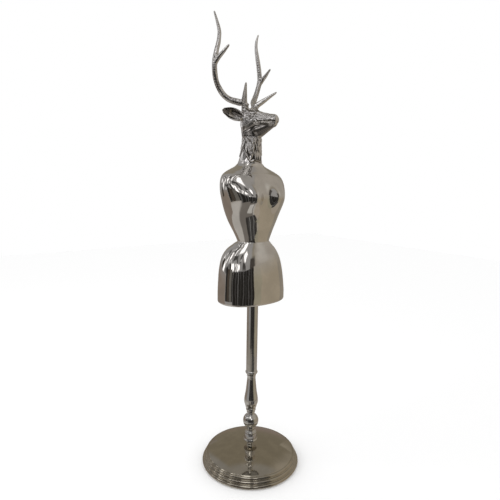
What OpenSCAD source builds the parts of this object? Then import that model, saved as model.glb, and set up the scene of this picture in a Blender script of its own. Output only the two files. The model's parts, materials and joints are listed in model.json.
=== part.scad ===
// Stag-headed dress form on a turned stand.
// Polished metal castings: a round stepped base, a turned column on a tie rod,
// a tube that carries the torso, and a neck, head and lift-off antlers above it.
// Millimetres, +Z up, origin at the centre of the base on the floor.
// The torso faces -Y; its own left is +X.

/* [Base] */
// Radius of the base over its lowest bead
base_r = 200; // [190:1:210]
// Height of the stack of three edge beads
bead_stack = 41; // [39:0.5:43]
// How far each bead steps in from the one below
bead_step = 7; // [6:0.5:8]
// Height of the base at its centre
dome_top = 70; // [66:1:74]
// Thickness of the base casting
base_wall = 3; // [2.5:0.5:4]
// Thickness of the floor pad
pad_t = 3; // [2.5:0.5:3.5]
// Thickness of the ballast disc
ballast_t = 10; // [8:1:14]

/* [Column] */
// Radius of the ball in the column
ball_r = 32; // [30:0.5:33]
// Height of the ball's centre
ball_z = 176; // [174:1:178]
// Radius of the tie rod
rod_r = 6; // [5:0.5:7]
// Outer radius of the pole
pole_r = 22.25; // [21.5:0.25:23]
// Wall of the pole
pole_wall = 1.75; // [1.5:0.25:2.5]
// Height where the pole starts
pole_foot = 396; // [395:1:397]
// Height of the pole's top, inside the torso
pole_top = 880; // [860:5:890]

/* [Torso] */
// Height of the hem
hem_z = 690; // [686:1:694]
// Height of the waist crease
waist_z = 931; // [928:1:934]
// Height of the neck seat
seat_z = 1226; // [1224:1:1228]
// Wall of the torso castings
torso_wall = 4; // [3:0.5:5]
// How far the hem plate is set up inside the hem
plate_lift = 30; // [28:1:34]
// How far each breast stands out
breast_out = 28; // [22:1:30]
// Sideways place of each breast
breast_x = 56; // [52:1:60]
// Height of each breast's middle
breast_z = 1098; // [1092:1:1104]

/* [Height collar] */
// Running clearance of the collar and the socket on the pole
pole_gap = 0.06; // [0.03:0.01:0.1]
// Outer radius of the height collar
collar_r = 33; // [32:0.5:36]
// Height of the height collar
collar_h = 20; // [18:1:22]

/* [Head] */
// Angle that the head is turned from the torso's front
head_turn = 17; // [12:1:22]
// Length of the head ahead of the neck's axis
nose_reach = 102; // [98:1:106]
// Height where the head joins the neck
throat_z = 1322; // [1320:1:1326]
// Radius of each antler's spigot
spigot_r = 6; // [5:0.5:7]
// Length of each antler's spigot
spigot_h = 18; // [14:1:19]
// Running clearance of each spigot in its bush
spigot_gap = 0.08; // [0.05:0.01:0.1]

/* [Hidden] */
$fn = 72;

nickel = [0.72, 0.70, 0.68];
steel = [0.55, 0.56, 0.58];
iron = [0.25, 0.25, 0.26];
rubber = [0.08, 0.08, 0.08];

bead_h = bead_stack / 3;
bead_z = 2;
bead_top = bead_z + bead_stack;
dome_r = base_r - 2 * bead_step - bead_h / 2;
pad_r = base_r - bead_h / 2 - base_wall - 1;
pad_w = 32;
web_z = pad_t + 14;
web_t = 4;
rod_gap = 0.5;
rod_foot = 5;
rod_up = 19;
nut_across = 19;
nut_h = 8;
foot_top = ball_z - 32.5;
ball_top = ball_z + 34.5;
insert_h = 30;
hem_plate_z = hem_z + plate_lift;
plate_t = 3;
plate_gap = 1.5;
flange_t = 3.2;
flange_z = hem_plate_z - flange_t;
washer_t = 2.5;
ride_gap = 0.3;
collar_z = flange_z - ride_gap - washer_t - collar_h;
socket_r = pole_r + 4.8;
socket_h = 150;
thumb_r = 4;
lug_x = 122;
lug_y = 30;
lug_h = 16;
screw_r = 2.5;
hip_a = 142;
hip_d = 99;
hip_setback = 11;
hem_round = 9;
breast_in = 36;
breast_side = 62;
breast_up = 58;
breast_down = 44;
waist_a = 65.5;
waist_d = 49;
stud_r = 6;
stud_down = 34;
stud_up = 20;
neck_y = 22;
neck_wall = 5;
seat_in = 8;
head_wall = 6;
boss_h = 14;
bush_r = 10;
bush_h = spigot_h + 4;
root_r = 13;
// Where each antler's bush opens, in the head's frame: left, then right.
bushes = [[30, 27, 1434], [-30, 28, 1437]];

// ---------------------------------------------------------------- helpers

// Cubic through p1 and p2, for values a, b, c, d held at u = -1, 0, 1, 2.
function cubic(a, b, c, d, u) =
    b + 0.5 * u * (c - a + u * (2 * a - 5 * b + 4 * c - d + u * (3 * (b - c) + d - a)));

// Smooth open curve through a list of points, n steps a span.
function curve(p, n) = [
    for (i = [0 : len(p) - 2], k = [0 : n - 1])
        cubic(p[max(i - 1, 0)], p[i], p[i + 1], p[min(i + 2, len(p) - 1)], k / n),
    p[len(p) - 1]
];

// Point of a superellipse of half-width a, depth f in front and b behind.
function section(t, a, f, b, n) = [
    a * sign(cos(t)) * pow(abs(cos(t)), 2 / n),
    (sin(t) < 0 ? f : b) * sign(sin(t)) * pow(abs(sin(t)), 2 / n)
];

function unit(v) = v / norm(v);

// Closed solid through rings of equal length, with a flat cap at both ends.
module loft(rings) {
    n = len(rings[0]);
    m = len(rings);
    pts = [for (r = rings) each r];
    side = [
        for (i = [0 : m - 2], j = [0 : n - 1])
            let (k = (j + 1) % n)
            each [[i * n + j, (i + 1) * n + j, (i + 1) * n + k], [i * n + j, (i + 1) * n + k, i * n + k]]
    ];
    caps = [[for (j = [0 : n - 1]) j], [for (j = [n - 1 : -1 : 0]) (m - 1) * n + j]];
    polyhedron(pts, concat(side, caps), convexity = 10);
}

// Hollow wall: rings run up the outside, over, and down the inside to the start.
module wall(rings) {
    n = len(rings[0]);
    m = len(rings);
    pts = [for (r = rings) each r];
    side = [
        for (i = [0 : m - 1], j = [0 : n - 1])
            let (k = (j + 1) % n, h = (i + 1) % m)
            each [[i * n + j, h * n + j, h * n + k], [i * n + j, h * n + k, i * n + k]]
    ];
    polyhedron(pts, side, convexity = 10);
}

// Tapered bent rod: points [x, y, z, r], swept with a round section of n sides.
// ref is a direction that the rod never runs along. A flat root [x, y, z, r] may be given,
// a level ring that the rod grows from.
module branch(p, ref, n, root = []) {
    m = len(p);
    function at(i) = [p[i][0], p[i][1], p[i][2]];
    function along(i) = unit(at(min(i + 1, m - 1)) - at(max(i - 1, 0)));
    function round_ring(c, r, t) =
        let (u = unit(cross(t, ref)), v = cross(t, u))
        [for (j = [0 : n - 1]) c + r * (cos(360 * j / n) * u + sin(360 * j / n) * v)];
    loft(concat(
        len(root) > 0 ? [round_ring([root[0], root[1], root[2]], root[3], [0, 0, 1])] : [],
        [for (i = [0 : m - 1]) round_ring(at(i), p[i][3], along(i))]
    ));
}

// Turned piece: smooth outline points [r, z] on the outside, a bore of radius b.
module turned(outline, b, n = 4) {
    side = curve(outline, n);
    last = len(side) - 1;
    rotate_extrude()
        polygon(concat([[b, side[0][1]]], side, [[b, side[last][1]]]));
}

module ring(outer, inner, h) {
    difference() {
        cylinder(r = outer, h = h);
        translate([0, 0, -1]) cylinder(r = inner, h = h + 2);
    }
}

module hex_nut(across, bore, h) {
    difference() {
        cylinder(r = across / sqrt(3), h = h, $fn = 6);
        translate([0, 0, -1]) cylinder(r = bore, h = h + 2);
    }
}

// ---------------------------------------------------------------- base

// Outer outline of the base, from the lowest bead to the crown of the dome.
function base_outline(inset) = concat(
    [
        for (k = [0 : 2], a = [-90 : 15 : 75])
            [
                base_r - k * bead_step - bead_h / 2 + (bead_h / 2 - inset) * cos(a),
                bead_z + (k + 0.5) * bead_h + (bead_h / 2 - (k == 2 ? inset : 0)) * sin(a)
            ]
    ],
    [for (s = [dome_r - 2 : -12.5 : 1]) [s, dome_height(s) - inset]]
);

function dome_height(s) = bead_top + (dome_top - bead_top) * (1 - pow(s / dome_r, 2.4));

module base_shell() {
    color(nickel)
        rotate_extrude($fn = 144)
            polygon(concat(
                [[base_r - bead_h / 2 - base_wall, bead_z]],
                base_outline(0),
                [[rod_r + rod_gap, dome_top], [rod_r + rod_gap, dome_top - base_wall]],
                [for (s = [20 : 20 : 160]) [s, dome_height(s) - base_wall]],
                [[dome_r - 4, bead_top - 2 * base_wall], [dome_r - 4, bead_top - 9]]
            ));
}

module base_pad() {
    color(rubber)
        difference() {
            cylinder(r = pad_r, h = pad_t, $fn = 144);
            translate([0, 0, -1]) cylinder(r = pad_r - pad_w, h = pad_t + 2, $fn = 144);
        }
}

module base_ballast() {
    color(iron)
        rotate_extrude($fn = 144)
            polygon([
                [rod_r + rod_gap, web_z], [40, web_z], [60, pad_t], [dome_r - 8, pad_t],
                [dome_r - 8, pad_t + ballast_t], [70, pad_t + ballast_t],
                [45, web_z + web_t], [rod_r + rod_gap, web_z + web_t]
            ]);
}

module base_washer() { color(steel) translate([0, 0, web_z - 1.5]) ring(16, rod_r + rod_gap, 1.5); }

module base_nut() {
    color(steel) translate([0, 0, web_z - 1.5 - nut_h]) hex_nut(nut_across, rod_r, nut_h);
}

module tie_rod() {
    color(steel) translate([0, 0, rod_foot]) cylinder(r = rod_r, h = pole_foot + rod_up - rod_foot);
}

// ---------------------------------------------------------------- column

module column_foot() {
    color(nickel)
        turned([
            [15.5, dome_top], [15, 76], [17, 82], [23, 87], [28.6, 91], [29, 95],
            [27.6, 103], [25, 115], [23.6, 122], [23.4, 127], [20, 128.5], [17, 131],
            [16.4, 137], [17.5, foot_top]
        ], rod_r + rod_gap);
}

module column_ball() {
    color(nickel)
        rotate_extrude()
            polygon(concat(
                [[rod_r + rod_gap, foot_top], [17.5, foot_top]],
                [for (a = [-56 : 8 : 56]) [ball_r * cos(a), ball_z + ball_r * sin(a)]],
                [[16, ball_top - 3.5], [16, ball_top], [rod_r + rod_gap, ball_top]]
            ));
}

module ring_collar() {
    color(nickel)
        turned([
            [16, ball_top], [17, 213], [17, 217], [16.2, 219.5], [18, 221.5], [20, 224],
            [20.2, 227], [19, 230], [18.2, 233]
        ], rod_r + rod_gap);
}

module baluster() {
    color(nickel)
        turned([
            [18.2, 233], [21.6, 235.5], [24.5, 246.6], [28, 258], [28.4, 267], [27.3, 280],
            [22.7, 308], [19.4, 339], [17.5, 358], [17.3, 368], [18.9, 376], [17.6, 382]
        ], rod_r + rod_gap);
}

module bead_ring() {
    color(nickel)
        turned([
            [17.6, 382], [21.5, 383], [24.4, 386], [24.8, 389.5], [24.4, 393], [21.5, pole_foot]
        ], rod_r + rod_gap);
}

module tube_insert() {
    color(steel)
        translate([0, 0, pole_foot]) ring(pole_r - pole_wall, rod_r + rod_gap, insert_h);
}

module pole_tube() {
    color(nickel)
        translate([0, 0, pole_foot]) ring(pole_r, pole_r - pole_wall, pole_top - pole_foot);
}

module pole_cap() {
    color(rubber) {
        translate([0, 0, pole_top]) cylinder(r = pole_r - 0.5, h = 3);
        translate([0, 0, pole_top - 12]) cylinder(r = pole_r - pole_wall, h = 12);
    }
}

// ---------------------------------------------------------------- height collar

module height_collar() {
    color(steel)
        translate([0, 0, collar_z])
            difference() {
                cylinder(r = collar_r, h = collar_h);
                translate([0, 0, -1]) cylinder(r = pole_r + pole_gap, h = collar_h + 2);
                translate([0, 0, collar_h / 2])
                    rotate([90, 0, 0])
                        cylinder(r = thumb_r + 0.05, h = collar_r + 2);
            }
}

// Thumb screw that clamps the collar to the pole.
module collar_screw() {
    color(steel)
        translate([0, 0, collar_z + collar_h / 2])
            rotate([90, 0, 0])
                union() {
                    translate([0, 0, pole_r + 0.2]) cylinder(r = thumb_r, h = collar_r - pole_r + 6);
                    translate([0, 0, collar_r + 2]) cylinder(r = 8, h = 5);
                    translate([-1.75, -9, collar_r + 5]) cube([3.5, 18, 16]);
                }
}

module swivel_washer() {
    color(rubber)
        translate([0, 0, collar_z + collar_h]) ring(collar_r - 1, pole_r + 0.3, washer_t);
}

// ---------------------------------------------------------------- torso

// Stations up the torso: height, half-width, half-depth, setback.
hip_stations = [
    [hem_z + 38, hip_a, hip_d, hip_setback], [773, 139, 97, 13], [816, 134, 95, 16],
    [855, 125, 90, 18], [881, 113, 83, 18], [901, 98, 73, 15], [916, 81, 61, 9],
    [923, 74, 55, 6], [waist_z - 3, waist_a + 1.5, waist_d + 1, 3], [waist_z, waist_a, waist_d, 2.5]
];
bodice_stations = [
    [waist_z, waist_a, waist_d, 2.5], [waist_z + 4, waist_a + 1.5, waist_d + 1, 3], [945, 71, 53, 4],
    [971, 82, 62, 7], [1013, 102, 76, 11], [1055, 118, 84, 12], [1105, 131, 87, 13], [1135, 135, 86, 14],
    [1160, 133, 82, 17], [1180, 124, 75, 22], [1195, 104, 65, 29], [1207, 79, 56, 32],
    [1216, 60, 50, 33], [seat_z, 49, 46, 33]
];

// Rise of one breast at x across and z up: longer slopes above and outward than below and inward.
function lobe(x, z) =
    let (wide = x > breast_x ? breast_side : breast_in, tall = z < breast_z ? breast_down : breast_up)
    exp(-pow((x - breast_x) / wide, 2) - pow((z - breast_z) / tall, 2));

// How far the front stands out at angle t round the torso, fading out towards its sides.
function bust(t, x, z) =
    let (u = max(0, min(1, -sin(t) / 0.75)))
    breast_out * (lobe(x, z) + lobe(-x, z)) * u * u * (3 - 2 * u);

function torso_ring(s, inset, n) = [
    for (j = [0 : n - 1])
        let (t = 360 * j / n, p = section(t, s[1] - inset, s[2] - inset, s[2] - inset, 2.2))
        [p[0], s[3] + p[1] - bust(t, p[0], s[0]), s[0]]
];

// Ring round the hem's rounded lower edge, at angle a down from the side.
function hem_ring(a, inset, n) =
    let (in = hem_round * (1 - cos(a)))
    torso_ring([hem_z + hem_round * (1 - sin(a)), hip_a - in, hip_d - in, hip_setback], inset, n);

module hip_shell() {
    n = 48;
    outer = curve(hip_stations, 3);
    color(nickel)
        wall(concat(
            [for (a = [80 : -20 : 0]) hem_ring(a, 0, n)],
            [for (s = outer) torso_ring(s, 0, n)],
            [for (i = [len(outer) - 1 : -3 : 0]) torso_ring(outer[i], torso_wall, n)],
            [hem_ring(30, torso_wall, n)]
        ));
}

module bodice_shell() {
    n = 60;
    outer = curve(bodice_stations, 3);
    seat = bodice_stations[len(bodice_stations) - 1];
    hole = stud_r + rod_gap;
    color(nickel)
        wall(concat(
            [for (s = outer) torso_ring(s, 0, n)],
            [torso_ring([seat_z, hole, hole, neck_y], 0, n)],
            [torso_ring([seat_z - torso_wall, hole, hole, neck_y], 0, n)],
            [torso_ring([seat_z - torso_wall, seat[1], seat[2], seat[3]], seat_in, n)],
            [for (i = [len(outer) - 4 : -2 : 0]) torso_ring(outer[i], torso_wall, n)]
        ));
}

// Band inside the waist that joins the two torso castings.
module waist_band() {
    color(steel)
        translate([0, 2.5, waist_z - 12])
            linear_extrude(24)
                difference() {
                    scale([1, 0.72]) circle(r = waist_a - 5);
                    scale([1, 0.72]) circle(r = waist_a - 10);
                }
}

module hem_plate() {
    a = hip_a - torso_wall - plate_gap;
    d = hip_d - torso_wall - plate_gap;
    color(nickel)
        difference() {
            translate([0, hip_setback, hem_plate_z])
                linear_extrude(plate_t)
                    polygon([for (j = [0 : 71]) section(5 * j, a, d, d, 2.2)]);
            translate([0, 0, hem_plate_z - 1]) cylinder(r = socket_r, h = plate_t + 2);
            at_lugs() translate([0, 0, -1]) cylinder(r = screw_r, h = plate_t + 2);
        }
}

module at_lugs() {
    for (x = [-lug_x, lug_x], y = [hip_setback - lug_y, hip_setback + lug_y])
        translate([x, y, hem_plate_z]) children();
}

// Blocks brazed inside the hem that the plate is screwed to.
module plate_lugs() {
    color(steel)
        at_lugs()
            translate([0, 0, plate_t])
                difference() {
                    cylinder(r = 9, h = lug_h);
                    translate([0, 0, -1]) cylinder(r = screw_r, h = lug_h + 2);
                }
}

module plate_screws() {
    color(steel)
        at_lugs() {
            translate([0, 0, -2.5]) cylinder(r = 4.5, h = 2.5);
            cylinder(r = screw_r, h = plate_t + lug_h - 4);
        }
}

// Tube that slides over the pole, with the flange that rests on the collar.
module socket_tube() {
    color(steel)
        difference() {
            union() {
                translate([0, 0, flange_z]) cylinder(r = collar_r, h = flange_t);
                translate([0, 0, hem_plate_z]) cylinder(r = socket_r, h = socket_h);
            }
            translate([0, 0, flange_z - 1]) cylinder(r = pole_r + pole_gap, h = socket_h + flange_t + 2);
        }
}

// ---------------------------------------------------------------- neck and head

module neck_stud() {
    color(steel)
        translate([0, neck_y, seat_z - stud_down])
            cylinder(r = stud_r, h = throat_z + stud_up - seat_z + stud_down);
}

module neck_nut() {
    color(steel)
        translate([0, neck_y, seat_z - torso_wall]) {
            translate([0, 0, -2]) ring(16, stud_r + rod_gap, 2);
            translate([0, 0, -2 - nut_h]) hex_nut(nut_across, stud_r, nut_h);
        }
}

// Stations up the neck: height, half-width, half-depth, centre x, centre y.
neck_stations = [
    [seat_z, 49, 46, 0, 33], [1238, 45, 44, 0, 31], [1256, 41, 41, -1, 27], [1284, 37, 38, -3, 21],
    [1307, 35.5, 36.5, -4, 17], [throat_z, 35, 36, -5, 15]
];

function neck_ring(s, inset, n) = [
    for (j = [0 : n - 1])
        let (t = 360 * j / n)
        [s[3] + (s[1] - inset) * cos(t), s[4] + (s[2] - inset) * sin(t), s[0]]
];

module neck_shell() {
    n = 36;
    outer = curve(neck_stations, 3);
    last = len(outer) - 1;
    lid = neck_stations[len(neck_stations) - 1];
    hole = stud_r + rod_gap;
    color(nickel)
        wall(concat(
            [for (s = outer) neck_ring(s, 0, n)],
            [neck_ring([throat_z, hole, hole, 0, neck_y], 0, n)],
            [neck_ring([throat_z - neck_wall, hole, hole, 0, neck_y], 0, n)],
            [neck_ring([throat_z - neck_wall, lid[1], lid[2], lid[3], lid[4]], neck_wall, n)],
            [for (i = [last - 3 : -3 : 0]) neck_ring(outer[i], neck_wall, n)]
        ));
}

// In the head's own frame: forward is -Y and the animal's left is +X.
module head_frame() { rotate([0, 0, head_turn]) children(); }

// Stations from the back of the head to the nose: reach, underside, top, half-width.
head_stations = [
    [-50, 1358, 1396, 14], [-47, 1330, 1418, 28], [-38, throat_z, 1430, 38], [-22, throat_z, 1436, 43],
    [-4, throat_z, 1431, 45], [12, throat_z, 1420, 42], [26, 1323, 1413, 36], [44, 1335, 1411, 29],
    [64, 1349, 1407, 24], [80, 1356, 1402, 21], [nose_reach - 10, 1361, 1397, 18],
    [nose_reach - 3, 1367, 1392, 14], [nose_reach, 1374, 1388, 8]
];

function head_ring(s, inset, open, n) = [
    for (j = [0 : n - 1])
        let (t = 360 * j / n, low = s[1] + inset - (open && s[1] < throat_z + 2 ? 20 : 0), top = s[2] - inset)
        let (p = section(t, s[3] - inset, (top - low) / 2, (top - low) / 2, 2.3))
        [p[0], -s[0] + (s[0] < 0 ? -inset : inset), (low + top) / 2 + p[1]]
];

module head_shell() {
    color(nickel)
        head_frame()
            difference() {
                loft([for (s = curve(head_stations, 2)) head_ring(s, 0, false, 32)]);
                loft([
                    for (i = [1 : len(head_stations) - 2])
                        head_ring(head_stations[i], head_wall, true, 32)
                ]);
                for (b = bushes)
                    translate([b[0], b[1], b[2] - bush_h - 4])
                        cylinder(r = bush_r + 0.1, h = 2 * bush_h);
            }
}

// Threaded bar brazed across the inside of the head, where the neck stud ends.
module head_boss() {
    bar_x = 27;
    bar_y = 8;
    color(steel)
        difference() {
            union() {
                translate([0, neck_y, throat_z + 2]) cylinder(r = 16, h = boss_h);
                head_frame()
                    translate([-bar_x, neck_y * cos(head_turn) - bar_y, throat_z + 2])
                        cube([2 * bar_x, 2 * bar_y, boss_h]);
            }
            translate([0, neck_y, throat_z + 1]) cylinder(r = stud_r, h = boss_h + 2);
        }
}

// Leaf-shaped ear, from its root out and back to its tip.
module ear() {
    root = [38, 34, 1399];
    tip = [104, 76, 1421];
    out = unit(tip - root);
    up = unit([0, 0, 1] - out[2] * out);
    face = cross(out, up);
    color(nickel)
        loft([
            for (k = [0 : 12])
                let (s = k / 12, high = 1.5 + 20 * pow(sin(180 * pow(s, 0.8)), 0.8) + 6 * (1 - s))
                [
                    for (j = [0 : 15])
                        let (t = 360 * j / 16)
                        root + s * norm(tip - root) * out + high * cos(t) * up
                            + (1.2 + 5 * (1 - s)) * sin(t) * face
                ]
        ]);
}

module ear_left() { head_frame() ear(); }
module ear_right() { head_frame() mirror([1, 0, 0]) ear(); }

// ---------------------------------------------------------------- antlers

module bush(b) {
    color(nickel)
        head_frame()
            translate([b[0], b[1], b[2] - bush_h])
                difference() {
                    cylinder(r = bush_r, h = bush_h);
                    translate([0, 0, 3]) cylinder(r = spigot_r + spigot_gap, h = bush_h);
                }
}

module bush_left() { bush(bushes[0]); }
module bush_right() { bush(bushes[1]); }

module antler(b, ref, beam, crown, brow) {
    seat = [
        b[0] * cos(head_turn) - b[1] * sin(head_turn), b[0] * sin(head_turn) + b[1] * cos(head_turn),
        b[2] + ride_gap, root_r
    ];
    color(nickel) {
        translate([seat[0], seat[1], b[2] - spigot_h]) cylinder(r = spigot_r, h = spigot_h + 6);
        branch(curve(beam, 3), ref, 12, seat);
        branch(curve(crown, 3), ref, 10);
        branch(curve(brow, 3), ref, 10);
    }
}

// Beams and tines as [x, y, z, radius] from root to point.
module antler_left() {
    antler(bushes[0], [0.8, -0.6, 0],
        [
            [27, 43, 1443, 12], [33, 56, 1450, 11.5], [46, 80, 1466, 10.5], [68, 100, 1487, 10],
            [91, 114, 1524, 9.5], [107, 124, 1562, 9.3], [103, 124, 1604, 8.6], [94, 125, 1650, 7.6],
            [93, 132, 1684, 6], [98, 137, 1714, 4.2], [108, 139, 1741, 1.5]
        ],
        [[107, 124, 1550, 7], [114, 112, 1566, 6.3], [118, 95, 1581, 4.8], [120, 72, 1600, 1.3]],
        [[24, 34, 1444, 9], [40, 25, 1456, 8], [64, 14, 1474, 5.8], [97, 0, 1499, 1.3]]);
}

module antler_right() {
    antler(bushes[1], [0.4, 0.9, 0],
        [
            [-49, 24, 1447, 12], [-62, 31, 1450, 11.5], [-90, 46, 1459, 10.5], [-115, 55, 1480, 10],
            [-138, 56, 1516, 9.5], [-151, 48, 1557, 9.3], [-152, 43, 1590, 9], [-143, 47, 1622, 8.4],
            [-130, 54, 1658, 7.4], [-126, 57, 1692, 6.4], [-134, 60, 1726, 4.4], [-145, 61, 1757, 1.5]
        ],
        [[-151, 44, 1578, 7], [-144, 29, 1596, 6.3], [-135, 10, 1613, 4.8], [-126, -9, 1631, 1.3]],
        [[-41, 18, 1447, 9], [-48, 6, 1460, 8], [-60, -15, 1479, 5.8], [-77, -45, 1505, 1.3]]);
}

base_pad();
base_shell();
base_ballast();
base_washer();
base_nut();
tie_rod();
column_foot();
column_ball();
ring_collar();
baluster();
bead_ring();
tube_insert();
pole_tube();
pole_cap();
height_collar();
collar_screw();
swivel_washer();
socket_tube();
hem_plate();
plate_lugs();
plate_screws();
hip_shell();
waist_band();
bodice_shell();
neck_stud();
neck_nut();
neck_shell();
head_boss();
head_shell();
ear_left();
ear_right();
bush_left();
bush_right();
antler_left();
antler_right();
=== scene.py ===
"""Stag-headed display mannequin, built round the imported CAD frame.

Metres. +Z up, the torso faces -Y and its own left is +X. Shapes that the CAD holds
as plain solids are rebuilt here as fine meshes in the same place.
"""
import json
import math

import bpy
import numpy as np
from mathutils import Matrix, Vector


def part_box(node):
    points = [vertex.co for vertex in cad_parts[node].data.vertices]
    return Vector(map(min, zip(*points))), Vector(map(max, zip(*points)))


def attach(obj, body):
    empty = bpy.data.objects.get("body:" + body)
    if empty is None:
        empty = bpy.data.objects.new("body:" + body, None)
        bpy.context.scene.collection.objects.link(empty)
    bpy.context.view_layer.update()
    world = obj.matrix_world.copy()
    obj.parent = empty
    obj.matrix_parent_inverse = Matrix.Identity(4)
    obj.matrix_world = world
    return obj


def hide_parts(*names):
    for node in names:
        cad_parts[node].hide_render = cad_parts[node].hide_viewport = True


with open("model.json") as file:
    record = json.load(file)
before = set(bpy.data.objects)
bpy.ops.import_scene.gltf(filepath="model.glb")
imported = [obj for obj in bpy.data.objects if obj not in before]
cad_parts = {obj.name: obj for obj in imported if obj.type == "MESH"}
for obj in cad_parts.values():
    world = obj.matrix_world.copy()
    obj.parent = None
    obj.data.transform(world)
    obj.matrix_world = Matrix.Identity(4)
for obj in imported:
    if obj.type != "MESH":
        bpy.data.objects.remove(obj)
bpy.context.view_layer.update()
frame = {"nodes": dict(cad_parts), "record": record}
MM = 0.001


# ------------------------------------------------------------------ camera

def make_camera():
    """The camera stands to the torso's right front, level with its shoulders."""
    turn = math.radians(36.0)
    # Metres and degrees, rounded from a fit to the base and the column
    distance, height = 1.730, 1.1637
    pitch, roll, yaw = math.radians(8.883), math.radians(0.863), math.radians(-0.451)
    forward = Vector((math.sin(yaw) * math.cos(pitch), math.cos(yaw) * math.cos(pitch), -math.sin(pitch)))
    up = Vector((math.sin(yaw) * math.sin(pitch), math.cos(yaw) * math.sin(pitch), math.cos(pitch)))
    right = Vector((math.cos(yaw), -math.sin(yaw), 0.0))
    level = right.copy()
    right = level * math.cos(roll) + up * math.sin(roll)
    up = up * math.cos(roll) - level * math.sin(roll)
    axes = Matrix((right, up, -forward)).transposed()
    data = bpy.data.cameras.new("camera")
    data.lens, data.sensor_width = 32.11, 36.0
    camera = bpy.data.objects.new("camera", data)
    spin = Matrix.Rotation(-turn, 3, "Z")
    place = Matrix.Translation(spin @ Vector((0.0, -distance, height)))
    camera.matrix_world = place @ (spin @ axes).to_4x4()
    bpy.context.scene.collection.objects.link(camera)
    bpy.context.scene.camera = camera
    return turn


camera_turn = make_camera()


# ------------------------------------------------------------------ node helpers

class Nodes:
    """Short way to add nodes to a tree and link them."""

    def __init__(self, tree):
        self.tree = tree
        tree.nodes.clear()

    def add(self, kind, inputs=(), **settings):
        node = self.tree.nodes.new(kind)
        for name, value in settings.items():
            setattr(node, name, value)
        for socket, value in dict(inputs).items():
            if isinstance(value, bpy.types.NodeSocket):
                self.tree.links.new(value, node.inputs[socket])
            else:
                node.inputs[socket].default_value = value
        return node

    def math(self, operation, a, b=0.0):
        return self.add("ShaderNodeMath", {0: a, 1: b}, operation=operation).outputs[0]

    def ramp(self, value, low, high):
        """0 below low, 1 above high, smooth between them."""
        settings = {"Value": value, "From Min": low, "From Max": high}
        return self.add("ShaderNodeMapRange", settings, interpolation_type="SMOOTHSTEP").outputs[0]

    def mix(self, factor, a, b):
        node = self.add("ShaderNodeMix", {0: factor}, data_type="RGBA")
        for socket, value in ((node.inputs[6], a), (node.inputs[7], b)):
            if isinstance(value, bpy.types.NodeSocket):
                self.tree.links.new(value, socket)
            else:
                socket.default_value = (*value, 1.0)
        return node.outputs[2]

    def noise(self, vector, scale, detail=2.0, roughness=0.5):
        inputs = {"Vector": vector, "Scale": scale, "Detail": detail, "Roughness": roughness}
        return self.add("ShaderNodeTexNoise", inputs).outputs["Fac"]


# ------------------------------------------------------------------ studio

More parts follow.
